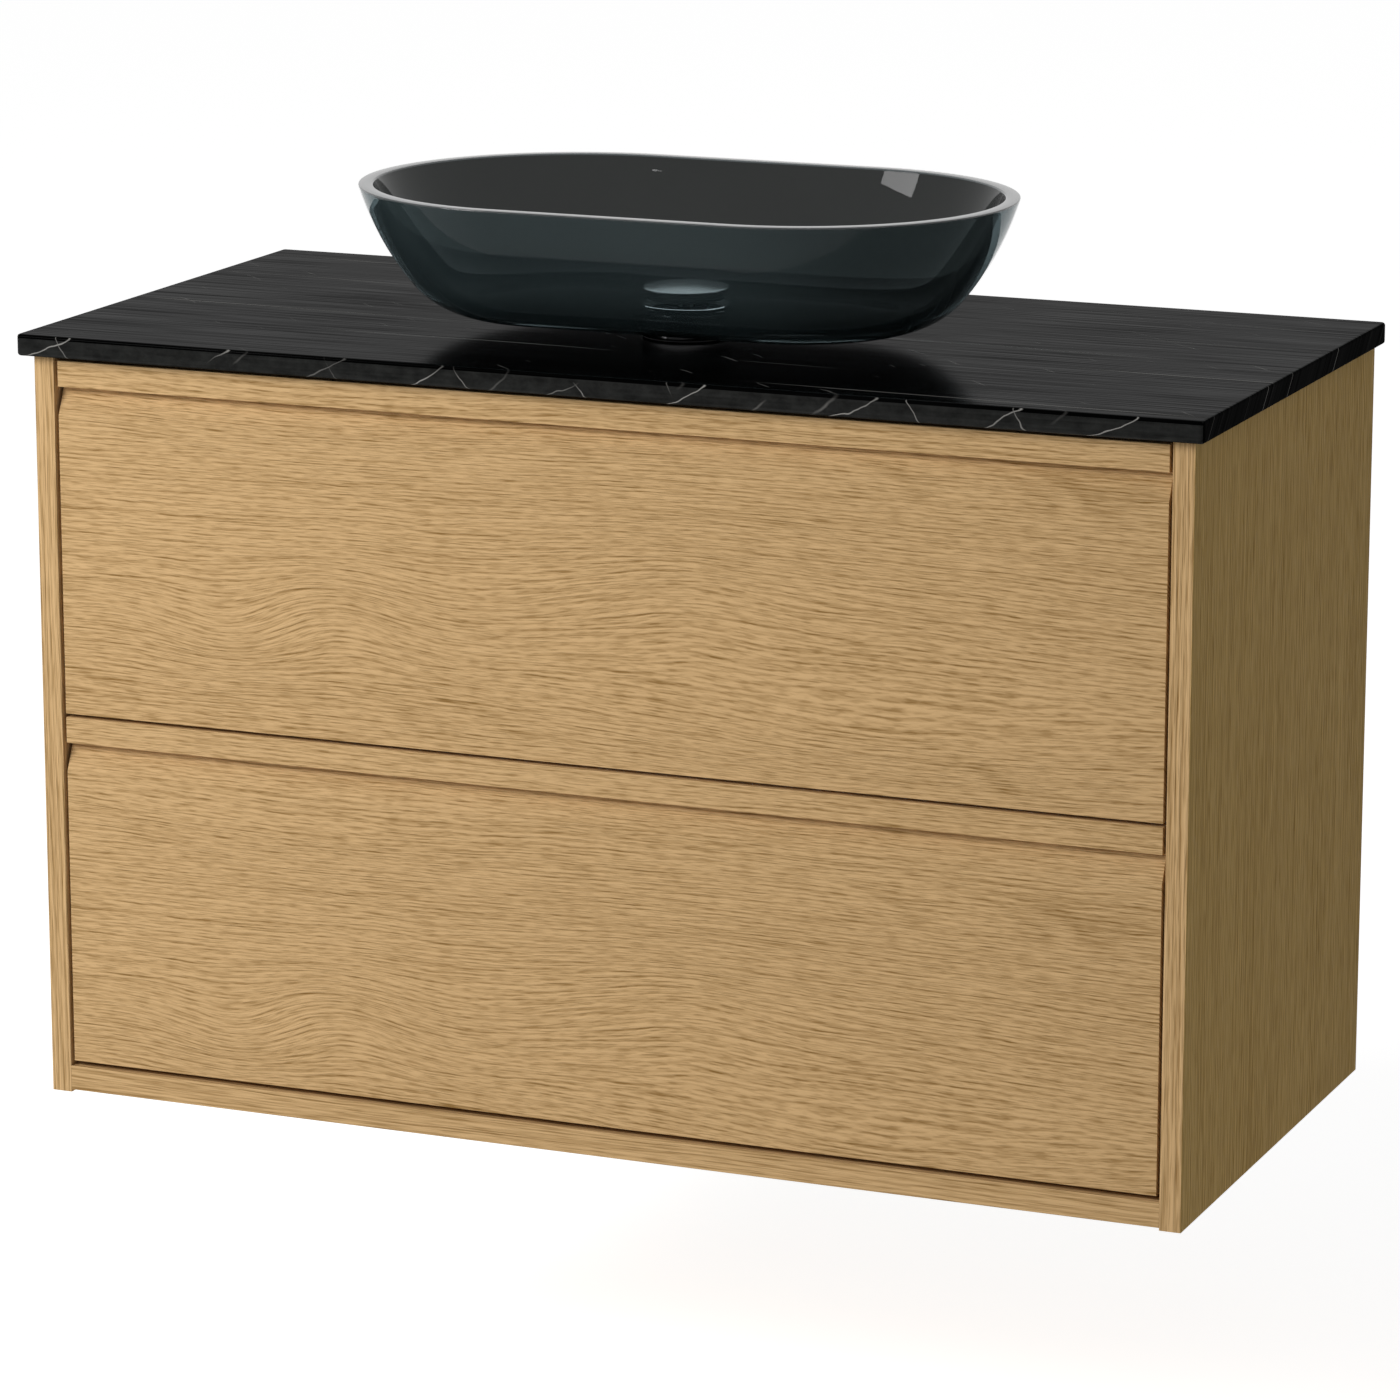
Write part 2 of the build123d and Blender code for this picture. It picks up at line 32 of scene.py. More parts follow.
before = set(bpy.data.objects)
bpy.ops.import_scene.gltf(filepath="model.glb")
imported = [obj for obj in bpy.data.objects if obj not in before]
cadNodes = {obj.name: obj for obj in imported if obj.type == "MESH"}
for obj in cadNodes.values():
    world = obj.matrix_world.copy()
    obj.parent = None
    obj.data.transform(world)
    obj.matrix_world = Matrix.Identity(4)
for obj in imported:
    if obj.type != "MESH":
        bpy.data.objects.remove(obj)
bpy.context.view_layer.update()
scene = bpy.context.scene
scene.view_settings.view_transform = "Standard"
print("frame loaded,", len(cadNodes), "nodes")

noiseMiddle = 0.5  # what a noise texture gives on average


# Small helpers for nodes
def link(tree, value, socket):
    if isinstance(value, bpy.types.NodeSocket):
        tree.links.new(value, socket)
    elif value is not None:
        socket.default_value = value


def calc(tree, operation, first, second=None, third=None):
    made = tree.nodes.new("ShaderNodeMath")
    made.operation = operation
    for value, socket in zip((first, second, third), made.inputs):
        link(tree, value, socket)
    return made.outputs[0]


def remap(tree, value, span, to=(0.0, 1.0)):
    made = tree.nodes.new("ShaderNodeMapRange")
    link(tree, value, made.inputs["Value"])
    for name, number in zip(("From Min", "From Max", "To Min", "To Max"), (*span, *to)):
        made.inputs[name].default_value = number
    return made.outputs["Result"]


def mixColor(tree, share, first, second, blend="MIX"):
    made = tree.nodes.new("ShaderNodeMix")
    made.data_type = "RGBA"
    made.blend_type = blend
    link(tree, share, made.inputs["Factor"])
    link(tree, first, made.inputs["A"])
    link(tree, second, made.inputs["B"])
    return made.outputs["Result"]


def combine(tree, x, y, z):
    made = tree.nodes.new("ShaderNodeCombineXYZ")
    for value, socket in zip((x, y, z), made.inputs):
        link(tree, value, socket)
    return made.outputs[0]


def split(tree, vector):
    made = tree.nodes.new("ShaderNodeSeparateXYZ")
    link(tree, vector, made.inputs[0])
    return made.outputs


def multiply(tree, vector, factors):
    made = tree.nodes.new("ShaderNodeVectorMath")
    made.operation = "MULTIPLY"
    link(tree, vector, made.inputs[0])
    link(tree, factors, made.inputs[1])
    return made.outputs[0]


def noise(tree, vector, stretch, detail=1.0, rough=0.5):
    # noise whose grains are 1 / stretch metres long in each direction
    made = tree.nodes.new("ShaderNodeTexNoise")
    link(tree, multiply(tree, vector, stretch), made.inputs["Vector"])
    made.inputs["Scale"].default_value = 1.0
    made.inputs["Detail"].default_value = detail
    made.inputs["Roughness"].default_value = rough
    return made.outputs["Fac"]


def objectPlace(tree):
    return tree.nodes.new("ShaderNodeTexCoord").outputs["Object"]


def bump(tree, height, distance):
    made = tree.nodes.new("ShaderNodeBump")
    made.inputs["Distance"].default_value = distance
    link(tree, height, made.inputs["Height"])
    return made.outputs["Normal"]


def newMaterial(name):
    material = bpy.data.materials.new(name)
    material.use_nodes = True
    tree = material.node_tree
    return material, tree, tree.nodes["Principled BSDF"].inputs


def newGroup(name, inputs, outputs):
    tree = bpy.data.node_groups.new(name, "ShaderNodeTree")
    for way, sockets in (("INPUT", inputs), ("OUTPUT", outputs)):
        for socketName, kind in sockets:
            tree.interface.new_socket(socketName, in_out=way, socket_type="NodeSocket" + kind)
    start = tree.nodes.new("NodeGroupInput")
    end = tree.nodes.new("NodeGroupOutput")
    return tree, start.outputs, end.inputs


def useGroup(tree, group, **values):
    made = tree.nodes.new("ShaderNodeGroup")
    made.node_tree = group
    for name, value in values.items():
        link(tree, value, made.inputs[name])
    return made.outputs


# Studio: pale floor, white surroundings, soft lamps and the camera
studio = {
    "floorHeight": -0.83,
    "floorSize": 30.0,
    "floorColor": (0.86, 0.86, 0.86, 1.0),
    "floorGlow": 0.77,
    "airColor": (1.0, 1.0, 1.0, 1.0),
    "ambient": 0.25,
    "surround": 1.0,
}
lamps = {
    "softbox": {"place": (-2.37, -2.94, 1.55), "size": (1.47, 1.41), "power": 94.0, "shine": True},
    "bounceSheet": {"place": (-2.1, -4.3, 1.9), "size": (2.6, 2.2), "power": 25.0, "shine": False},
}
lampTarget = (0.0, -0.28, 0.1)
cameraSetup = {
    "place": (1.8489, -4.6899, 0.8894),
    "yaw": 22.644,
    "pitch": 13.232,
    "focalPixels": 5909.8,
    "framePixels": 1400,
    "sensor": 36.0,
    "clip": (0.05, 100.0),
}


def seenDirectly(tree):
    # 1 for rays that show the surroundings: from the camera, in gloss or through glass
    path = tree.nodes.new("ShaderNodeLightPath").outputs
    either = calc(tree, "MAXIMUM", path["Is Camera Ray"], path["Is Glossy Ray"])
    return calc(tree, "MAXIMUM", either, path["Is Transmission Ray"])


def buildFloor():
    bpy.ops.object.select_all(action="DESELECT")
    bpy.ops.mesh.primitive_plane_add(size=studio["floorSize"], location=(0, 0, studio["floorHeight"]))
    floor = bpy.context.object
    floor.name = "studioFloor"
    material = bpy.data.materials.new("paleFloor")
    material.use_nodes = True
    tree = material.node_tree
    tree.nodes.clear()
    output = tree.nodes.new("ShaderNodeOutputMaterial")
    matte = tree.nodes.new("ShaderNodeBsdfDiffuse")
    matte.inputs["Color"].default_value = studio["floorColor"]
    glow = tree.nodes.new("ShaderNodeEmission")
    link(tree, calc(tree, "MULTIPLY", seenDirectly(tree), studio["floorGlow"]), glow.inputs["Strength"])
    both = tree.nodes.new("ShaderNodeAddShader")
    tree.links.new(matte.outputs[0], both.inputs[0])
    tree.links.new(glow.outputs[0], both.inputs[1])
    tree.links.new(both.outputs[0], output.inputs["Surface"])
    floor.data.materials.append(material)


def buildWorld():
    world = bpy.data.worlds.new("studioWorld")
    scene.world = world
    world.use_nodes = True
    tree = world.node_tree
    background = tree.nodes["Background"]
    background.inputs["Color"].default_value = studio["airColor"]
    level = remap(tree, seenDirectly(tree), (0, 1), (studio["ambient"], studio["surround"]))
    link(tree, level, background.inputs["Strength"])


def buildLamps():
    for name, lamp in lamps.items():
        data = bpy.data.lights.new(name, "AREA")
        data.shape = "RECTANGLE"
        data.size, data.size_y = lamp["size"]
        data.energy = lamp["power"]
        made = bpy.data.objects.new(name, data)
        scene.collection.objects.link(made)
        made.location = lamp["place"]
        towards = Vector(lampTarget) - made.location
        made.rotation_euler = towards.to_track_quat("-Z", "Y").to_euler()
        made.visible_camera = False
        made.visible_glossy = lamp["shine"]
        made.visible_transmission = False


def buildCamera():
    data = bpy.data.cameras.new("photoCamera")
    data.sensor_width = cameraSetup["sensor"]
    data.lens = cameraSetup["focalPixels"] / cameraSetup["framePixels"] * cameraSetup["sensor"]
    data.clip_start, data.clip_end = cameraSetup["clip"]
    made = bpy.data.objects.new("photoCamera", data)
    scene.collection.objects.link(made)
    made.location = cameraSetup["place"]
    made.rotation_euler = (math.radians(90 - cameraSetup["pitch"]), 0, math.radians(cameraSetup["yaw"]))
    scene.camera = made


buildFloor()
buildWorld()
buildLamps()
buildCamera()
print("studio ready")


# Oak: rings, pores and fibres drawn along lines that a flow bends across the board.
# Sizes are in grains per metre along, across and into the board.
oak = {
    "pale": (0.68, 0.45, 0.222, 1.0),
    "deep": (0.27, 0.150, 0.046, 1.0),
    # paintedSideShade is painted shade: a darker, less blue tint on the right panel's outer face, which
    # stands in shade; paintedShadeSkin is how far under that face it reaches
    "paintedSideShade": (0.93, 0.94, 0.67, 1.0),
    "paintedShadeSkin": 0.0004,
    "rippleSize": (9.0, 30.0, 30.0),
    "ripple": 0.0035,
    "lean": 0.8,
    "bandSize": (1.1, 60.0, 1.0),
    "bandSpan": (0.36, 0.64),
    "swaySize": (5.0, 60.0, 1.0),
    "jogSize": (16.0, 160.0, 1.0),
    "poreSize": (64.0, 960.0, 1.0),
    "poreSpan": (0.46, 0.64),
    "fibreSize": (16.0, 1500.0, 1.0),
    "cloudSize": (2.0, 13.0, 1.0),
    "driftSize": (1.3, 36.0, 1.0),
    "seamWidth": 0.022,
    "lines": [
        {"spacing": 0.0052, "sway": 15.0, "jog": 6.0, "broken": (12.0, 300.0, 1.0), "share": 0.22},
        {"spacing": 0.0036, "sway": -19.0, "jog": 9.0, "broken": (18.0, 430.0, 1.0), "share": 0.30},
    ],
    "keptSpan": (0.40, 0.58),
    "toneStart": -0.15,
    "toneShares": {"band": 0.08, "pore": 0.38, "fibre": 0.28, "cloud": 0.20, "seam": 0.10, "flames": 0.24},
    "dipShares": {"pore": 0.45, "fibre": 0.2},
    "dipOfLines": 1.2,
    "poreDepth": 0.0004,
    "roughness": (0.46, 0.66),
    "specular": 0.015,
}


def makeOakGrain():
    inputs = [("Place", "Vector"), ("Flow", "Float"), ("Flames", "Float")]
    inputs += [("Pale", "Color"), ("Deep", "Color")]
    outputs = [("Color", "Color"), ("Roughness", "Float"), ("Height", "Float")]
    tree, given, result = newGroup("oakGrain", inputs, outputs)
    place = given["Place"]
    along, across, depth = split(tree, place)
    ripple = calc(tree, "SUBTRACT", noise(tree, place, oak["rippleSize"]), noiseMiddle)
    line = calc(tree, "MULTIPLY_ADD", ripple, oak["ripple"], calc(tree, "ADD", across, given["Flow"]))
    line = calc(tree, "MULTIPLY_ADD", depth, oak["lean"], line)
    grainPlace = combine(tree, along, line, 0.0)

    sway = noise(tree, grainPlace, oak["swaySize"])
    jog = noise(tree, grainPlace, oak["jogSize"])
    drift = calc(tree, "SUBTRACT", noise(tree, grainPlace, oak["driftSize"]), noiseMiddle)
    fields = {
        "band": remap(tree, noise(tree, grainPlace, oak["bandSize"]), oak["bandSpan"]),
        "pore": remap(tree, noise(tree, grainPlace, oak["poreSize"]), oak["poreSpan"]),
        "fibre": noise(tree, grainPlace, oak["fibreSize"], detail=2.0, rough=0.6),
        "cloud": noise(tree, grainPlace, oak["cloudSize"], detail=2.0),
        "seam": remap(tree, calc(tree, "ABSOLUTE", drift), (0.0, oak["seamWidth"]), (1.0, 0.0)),
        "flames": given["Flames"],
    }

    # evenly spaced lines, swayed, jogged and broken up
    lines = 0.0
    for row in oak["lines"]:
        turn = calc(tree, "MULTIPLY", line, math.tau / row["spacing"])
        turn = calc(tree, "MULTIPLY_ADD", sway, row["sway"], turn)
        wave = calc(tree, "SINE", calc(tree, "MULTIPLY_ADD", jog, row["jog"], turn))
        kept = remap(tree, noise(tree, grainPlace, row["broken"]), oak["keptSpan"])
        lines = calc(tree, "MULTIPLY_ADD", calc(tree, "MULTIPLY", wave, kept), row["share"], lines)
    tone = calc(tree, "ADD", lines, oak["toneStart"])
    for part, share in oak["toneShares"].items():
        tone = calc(tree, "MULTIPLY_ADD", fields[part], share, tone)
    shade = calc(tree, "MINIMUM", calc(tree, "MAXIMUM", tone, 0.0), 1.0)
    link(tree, mixColor(tree, shade, given["Pale"], given["Deep"]), result["Color"])
    link(tree, remap(tree, tone, (0.0, 1.0), oak["roughness"]), result["Roughness"])
    dip = calc(tree, "MULTIPLY", lines, oak["dipOfLines"])
    for part, share in oak["dipShares"].items():
        dip = calc(tree, "MULTIPLY_ADD", fields[part], share, dip)
    link(tree, calc(tree, "SUBTRACT", 1.0, dip), result["Height"])
    return tree


oakGrain = makeOakGrain()


def oakFinish(name, makeField, outerFace=None):
    # makeField gives the place in the board, the flow there and its flames
    material, tree, shader = newMaterial(name)
    x, y, z = split(tree, objectPlace(tree))
    place, flow, flames = makeField(tree, x, y, z)
    colors = {"Pale": oak["pale"], "Deep": oak["deep"]}
    grain = useGroup(tree, oakGrain, Place=place, Flow=flow, Flames=flames, **colors)
    color = grain["Color"]
    # painted shade: the right panel's outer face, which stands in shade, is tinted darker and less blue
    if outerFace:
        inPaintedShade = calc(tree, "GREATER_THAN", x, outerFace - oak["paintedShadeSkin"])
        color = mixColor(tree, inPaintedShade, color, mixColor(tree, 1.0, color, oak["paintedSideShade"], "MULTIPLY"))
    link(tree, color, shader["Base Color"])
    link(tree, grain["Roughness"], shader["Roughness"])
    link(tree, bump(tree, grain["Height"], oak["poreDepth"]), shader["Normal"])
    shader["Specular IOR Level"].default_value = oak["specular"]
    return material


# The two drawer fronts are cut from one run of veneer: waves in its lines, and flames above two axes.
# Places are from the middle of a front and up from its lower edge.
veneer = {
    "seam": 0.041,
    "margin": 0.001,
    "waves": [
        {"place": (-0.325, 0.083), "reach": (0.066, 0.036), "lower": 0.015},
        {"place": (-0.228, 0.108), "reach": (0.066, 0.045), "lower": -0.013},
        {"place": (-0.102, 0.120), "reach": (0.090, 0.050), "lower": 0.006},
        {"place": (0.080, 0.152), "reach": (0.085, 0.050), "lower": -0.009},
        {"place": (0.170, 0.160), "reach": (0.320, 0.065), "lower": -0.016},
        {"place": (0.270, 0.045), "reach": (0.260, 0.036), "lower": 0.018},
        {"place": (-0.250, 0.262), "reach": (0.220, 0.030), "lower": 0.010},
    ],
    "flameAxes": (0.011, 0.238),
    "flameRow": 40.0,
    "flameFoot": 0.003,
    "flameHeight": 0.050,
    "flameFull": 0.030,
    "flameBend": 0.016,
    "flamesPerMetre": 15.0,
    "flameSpan": (0.57, 0.66),
    "patchSize": (4.0, 9.0, 1.0),
    "patchSpan": (0.38, 0.58),
}


def frontField(tree, x, y, z):
    low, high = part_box("lower_drawer_front"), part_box("upper_drawer_front")
    pitch = high[0].z - low[0].z
    isLower = calc(tree, "LESS_THAN", z, high[0].z - veneer["margin"])
    height = calc(tree, "SUBTRACT", z, high[0].z)
    height = calc(tree, "MULTIPLY_ADD", isLower, pitch + veneer["seam"], height)
    flow = 0.0
    for wave in veneer["waves"]:
        squares = []
        for value, middle, reach in zip((x, height), wave["place"], wave["reach"]):
            step = calc(tree, "DIVIDE", calc(tree, "SUBTRACT", value, middle), reach)
            squares.append(calc(tree, "MULTIPLY", step, step))
        fade = calc(tree, "EXPONENT", calc(tree, "MULTIPLY", calc(tree, "ADD", *squares), -1.0))
        flow = calc(tree, "MULTIPLY_ADD", fade, wave["lower"], flow)
    flames = 0.0
    foot = veneer["flameFoot"]
    for axis in veneer["flameAxes"]:
        above = calc(tree, "SUBTRACT", height, axis)
        bent = calc(tree, "DIVIDE", calc(tree, "MULTIPLY", above, above), veneer["flameBend"])
        tipPlace = combine(tree, calc(tree, "ADD", x, bent), axis * veneer["flameRow"], 0.0)
        tips = noise(tree, tipPlace, (veneer["flamesPerMetre"], 1.0, 1.0))
        started = remap(tree, above, (-foot, foot))
        ending = remap(tree, above, (veneer["flameHeight"], veneer["flameFull"]))
        inside = calc(tree, "MULTIPLY", started, ending)
        flames = calc(tree, "MULTIPLY_ADD", remap(tree, tips, veneer["flameSpan"]), inside, flames)
    patches = noise(tree, combine(tree, x, height, 0.0), veneer["patchSize"], detail=2.0)
    flames = calc(tree, "MULTIPLY", flames, remap(tree, patches, veneer["patchSpan"]))
    return combine(tree, x, height, calc(tree, "SUBTRACT", y, low[0].y)), flow, flames


# Straight-grained boards: the order says which axes run along, across and into the board
boards = {
    "upright": {"order": "zyx", "shift": (1.7, 5.2, 0.3)},
    "level": {"order": "xyz", "shift": (7.3, 2.2, 0.9)},
    "lengthShare": 0.5,
    "flowSize": (1.3, 7.0, 7.0),
    "flow": 0.045,
}


def straightField(board):
    def field(tree, *axes):
        named = dict(zip("xyz", axes))
        moved = [calc(tree, "ADD", named[axis], move) for axis, move in zip(board["order"], board["shift"])]
        along, across, depth = moved
        place = combine(tree, calc(tree, "MULTIPLY", along, boards["lengthShare"]), across, depth)
        flow = calc(tree, "MULTIPLY", noise(tree, place, boards["flowSize"]), boards["flow"])
        return place, flow, 0.0
    return field


oakFront = oakFinish("oakFront", frontField)
# the right panel's outer face carries the painted side shade
oakUpright = oakFinish("oakUpright", straightField(boards["upright"]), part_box("side_panel_right")[1].x)
oakBottom = oakFinish("oakBottom", straightField(boards["level"]))
print("oak ready")

# Countertop: black stone-look laminate with fine streaks, pale veins that cross its edges, and a painted
# grey sheen on its front edge.
# A vein's strength is given for the flat top and for the edges.
laminate = {
    "ground": (0.0003, 0.00035, 0.00035, 1.0),
    "haze": (0.0014, 0.0015, 0.0015, 1.0),
    # paintedEdgeSheen is a painted sheen: a flat speckled grey on the front edge that stands in for a
    # reflection
    "paintedEdgeSheen": (0.017, 0.0175, 0.0165, 1.0),
    "vein": (0.34, 0.33, 0.31, 1.0),
    "skin": 0.0012,
    "arris": 0.0032,
    "streakSize": (5.0, 330.0, 1.0),
    "streakHaze": (0.35, 0.75),
    "cloudSize": (3.0, 7.0, 1.0),
    "cloudHaze": (0.3, 0.7),
    "speckleSize": (70.0, 90.0, 1.0),
    "speckleSpan": (0.36, 0.66),
    "speckle": (0.4, 1.0),
    "fineRough": 0.65,
    "patchFade": 0.14,
    "veins": [
        {"turn": 1.5, "perMetre": 11.0, "width": 0.0022, "kink": 0.030, "kinkSize": (3.0, 3.0, 1.0),
         "patch": (3.0, 14.0, 1.0), "cover": 0.46, "strength": (0.38, 0.05)},
        {"turn": 27.0, "perMetre": 20.0, "width": 0.0007, "kink": 0.022, "kinkSize": (18.0, 18.0, 1.0),
         "patch": (9.0, 14.0, 1.0), "cover": 0.43, "strength": (0.0, 1.0)},
        {"turn": -56.0, "perMetre": 11.0, "width": 0.0006, "kink": 0.016, "kinkSize": (22.0, 22.0, 1.0),
         "patch": (12.0, 12.0, 1.0), "cover": 0.47, "strength": (0.0, 0.7)},
        {"turn": 40.0, "perMetre": 34.0, "width": 0.0014, "kink": 0.012, "kinkSize": (24.0, 24.0, 1.0),
         "patch": (22.0, 26.0, 1.0), "cover": 0.60, "strength": (0.30, 0.30)},
    ],
    "roughSpan": (0.2, 0.8),
    "roughness": (0.35, 0.45),
    "relief": 0.00004,
    "glossSpan": (0.34, 0.66),
    "gloss": (0.05, 0.19),
    "dull": 0.12,
    "coatRoughness": 0.14,
    "coatIor": 1.5,
}


def veinLines(tree, place, vein):
    # thin kinked lines at odd spacings, kept only in patches
    turned = tree.nodes.new("ShaderNodeVectorRotate")
    turned.rotation_type = "Z_AXIS"
    turned.inputs["Angle"].default_value = math.radians(vein["turn"])
    link(tree, place, turned.inputs["Vector"])
    onVein = turned.outputs[0]
    across = split(tree, onVein)["Y"]
    kink = calc(tree, "SUBTRACT", noise(tree, onVein, vein["kinkSize"], detail=3.0), noiseMiddle)
    rows = tree.nodes.new("ShaderNodeTexVoronoi")
    rows.voronoi_dimensions = "1D"
    rows.feature = "DISTANCE_TO_EDGE"
    link(tree, calc(tree, "MULTIPLY_ADD", kink, vein["kink"], across), rows.inputs["W"])
    rows.inputs["Scale"].default_value = vein["perMetre"]
    thin = remap(tree, rows.outputs["Distance"], (0.0, vein["width"] * vein["perMetre"]), (1.0, 0.0))
    patchSpan = (vein["cover"], vein["cover"] + laminate["patchFade"])
    return calc(tree, "MULTIPLY", thin, remap(tree, noise(tree, onVein, vein["patch"]), patchSpan))


def makeLaminate():
    material, tree, shader = newMaterial("blackLaminate")
    x, y, z = split(tree, objectPlace(tree))
    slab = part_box("countertop")
    flat = combine(tree, x, calc(tree, "SUBTRACT", y, z), 0.0)
    onFront = calc(tree, "LESS_THAN", y, slab[0].y + laminate["skin"])
    onSides = calc(tree, "GREATER_THAN", calc(tree, "ABSOLUTE", x), slab[1].x - laminate["skin"])
    onEdge = calc(tree, "MAXIMUM", onFront, onSides)
    streak = noise(tree, flat, laminate["streakSize"], detail=3.0, rough=laminate["fineRough"])
    cloud = remap(tree, noise(tree, flat, laminate["cloudSize"], detail=3.0), laminate["cloudHaze"])
    haze = calc(tree, "MULTIPLY", remap(tree, streak, laminate["streakHaze"]), cloud)
    color = mixColor(tree, haze, laminate["ground"], laminate["haze"])

    # below a dark arris the front edge carries a painted sheen: speckled grey in place of a reflection
    arris = calc(tree, "GREATER_THAN", z, slab[1].z - laminate["arris"])
    paintedSheenBand = calc(tree, "MULTIPLY", onFront, calc(tree, "SUBTRACT", 1.0, arris))
    speckle = noise(tree, flat, laminate["speckleSize"], detail=4.0, rough=laminate["fineRough"])
    speckle = remap(tree, speckle, laminate["speckleSpan"], laminate["speckle"])
    color = mixColor(tree, calc(tree, "MULTIPLY", speckle, paintedSheenBand), color, laminate["paintedEdgeSheen"])

    pale = 0.0
    for vein in laminate["veins"]:
        strength = remap(tree, onEdge, (0, 1), vein["strength"])
        drawn = calc(tree, "MULTIPLY", veinLines(tree, flat, vein), strength)
        pale = calc(tree, "MAXIMUM", pale, drawn)
    link(tree, mixColor(tree, pale, color, laminate["vein"]), shader["Base Color"])
    link(tree, remap(tree, streak, laminate["roughSpan"], laminate["roughness"]), shader["Roughness"])
    link(tree, bump(tree, streak, laminate["relief"]), shader["Normal"])
    shader["Specular IOR Level"].default_value = 0.0

    # the gloss is a coat, dull on the sides and along the front arris
    gloss = remap(tree, streak, laminate["glossSpan"], laminate["gloss"])
    isDull = calc(tree, "MAXIMUM", onSides, calc(tree, "MULTIPLY", onFront, arris))
    kept = remap(tree, isDull, (0, 1), (1.0, laminate["dull"]))
    link(tree, calc(tree, "MULTIPLY", gloss, kept), shader["Coat Weight"])
    shader["Coat Roughness"].default_value = laminate["coatRoughness"]
    shader["Coat IOR"].default_value = laminate["coatIor"]
    return material


blackLaminate = makeLaminate()
print("countertop finish ready")

# Mottle shared by metals, plastics, rubber, board and glass
cloudiness = {
    "broadSize": (1.0, 1.0, 1.0),
    "fineSize": (12.0, 12.0, 12.0),
    "broadShare": 0.6,
    "fineShare": 0.4,
    "colorSpan": (0.35, 0.65),
    "roughSpan": (0.3, 0.7),
}


def makeMottle():
    inputs, outputs = [("Place", "Vector"), ("Stretch", "Vector")], [("Broad", "Float"), ("Fine", "Float")]
    tree, given, result = newGroup("mottle", inputs, outputs)
    scaled = multiply(tree, given["Place"], given["Stretch"])
    link(tree, noise(tree, scaled, cloudiness["broadSize"], detail=3.0), result["Broad"])
    link(tree, noise(tree, scaled, cloudiness["fineSize"], detail=2.0), result["Fine"])
    return tree


mottle = makeMottle()

# Plain finishes: two near colours, the stretch of their clouds and the span of roughness
slightRelief = 0.00002
plainLooks = {
    "chromePlate": {"colors": ((0.80, 0.81, 0.83, 1), (0.76, 0.77, 0.79, 1)), "stretch": (30, 30, 30),
                    "roughness": (0.03, 0.07), "metallic": 1.0, "relief": 0.0},
    "satinChrome": {"colors": ((0.60, 0.61, 0.62, 1), (0.55, 0.56, 0.57, 1)), "stretch": (30, 30, 30),
                    "roughness": (0.20, 0.26), "metallic": 1.0, "relief": 0.0},
    "darkChrome": {"colors": ((0.50, 0.50, 0.51, 1), (0.45, 0.45, 0.46, 1)), "stretch": (30, 30, 30),
                   "roughness": (0.05, 0.08), "metallic": 1.0, "relief": 0.0},
    "zincSteel": {"colors": ((0.66, 0.67, 0.69, 1), (0.52, 0.53, 0.55, 1)), "stretch": (14, 60, 60),
                  "roughness": (0.30, 0.46), "metallic": 1.0, "relief": slightRelief},
    "turnedBrass": {"colors": ((0.76, 0.58, 0.28, 1), (0.66, 0.48, 0.22, 1)), "stretch": (40, 40, 300),
                    "roughness": (0.25, 0.38), "metallic": 1.0, "relief": slightRelief},
    "blackRubber": {"colors": ((0.022, 0.022, 0.023, 1), (0.035, 0.035, 0.036, 1)), "stretch": (60, 60, 60),
                    "roughness": (0.55, 0.75), "metallic": 0.0, "relief": slightRelief},
    "whitePlastic": {"colors": ((0.80, 0.80, 0.78, 1), (0.76, 0.76, 0.74, 1)), "stretch": (25, 25, 25),
                     "roughness": (0.22, 0.32), "metallic": 0.0, "relief": slightRelief},
    "greyPlastic": {"colors": ((0.36, 0.37, 0.38, 1), (0.30, 0.31, 0.32, 1)), "stretch": (40, 40, 40),
                    "roughness": (0.4, 0.5), "metallic": 0.0, "relief": slightRelief},
    "beechDowel": {"colors": ((0.70, 0.50, 0.30, 1), (0.60, 0.41, 0.23, 1)), "stretch": (20, 300, 300),
                   "roughness": (0.5, 0.7), "metallic": 0.0, "relief": slightRelief},
    "greyFoil": {"colors": ((0.56, 0.55, 0.53, 1), (0.50, 0.49, 0.47, 1)), "stretch": (6, 90, 90),
                 "roughness": (0.42, 0.55), "metallic": 0.0, "relief": slightRelief},
}


def plainFinish(name, look):
    # colour, roughness and a slight relief come from the same clouds
    material, tree, shader = newMaterial(name)
    field = useGroup(tree, mottle, Place=objectPlace(tree), Stretch=look["stretch"])
    broad = calc(tree, "MULTIPLY", field["Broad"], cloudiness["broadShare"])
    clouds = calc(tree, "ADD", broad, calc(tree, "MULTIPLY", field["Fine"], cloudiness["fineShare"]))
    share = remap(tree, clouds, cloudiness["colorSpan"])
    link(tree, mixColor(tree, share, *look["colors"]), shader["Base Color"])
    link(tree, remap(tree, clouds, cloudiness["roughSpan"], look["roughness"]), shader["Roughness"])
    link(tree, bump(tree, field["Fine"], look["relief"]), shader["Normal"])
    shader["Metallic"].default_value = look["metallic"]
    return material


plain = {name: plainFinish(name, look) for name, look in plainLooks.items()}

# Smoked glass: teal outside and neutral inside, with one tint for rays that enter a face and one for rays
# that leave there, so that the bowl is clear to look into and dark to look out of
smoke = {
    "cloud": (9.0, 9.0, 9.0),
    "smokedGlass": {"tints": ((0.160, 0.240, 0.258, 1), (0.144, 0.217, 0.233, 1)),
                    "leaving": (0.037, 0.046, 0.049, 1), "clear": 0.91, "ior": 1.14, "polish": 0.0},
    "innerGlass": {"tints": ((0.0185, 0.0172, 0.0152, 1), (0.0165, 0.0152, 0.0136, 1)),
                   "leaving": (0.76, 0.76, 0.76, 1), "clear": 1.0, "ior": 1.14, "polish": 0.15},
    "rimGlass": {"tints": ((0.065, 0.081, 0.084, 1), (0.060, 0.075, 0.078, 1)),
                 "leaving": (0.065, 0.081, 0.084, 1), "clear": 0.62, "ior": 1.5, "polish": 0.0},
}


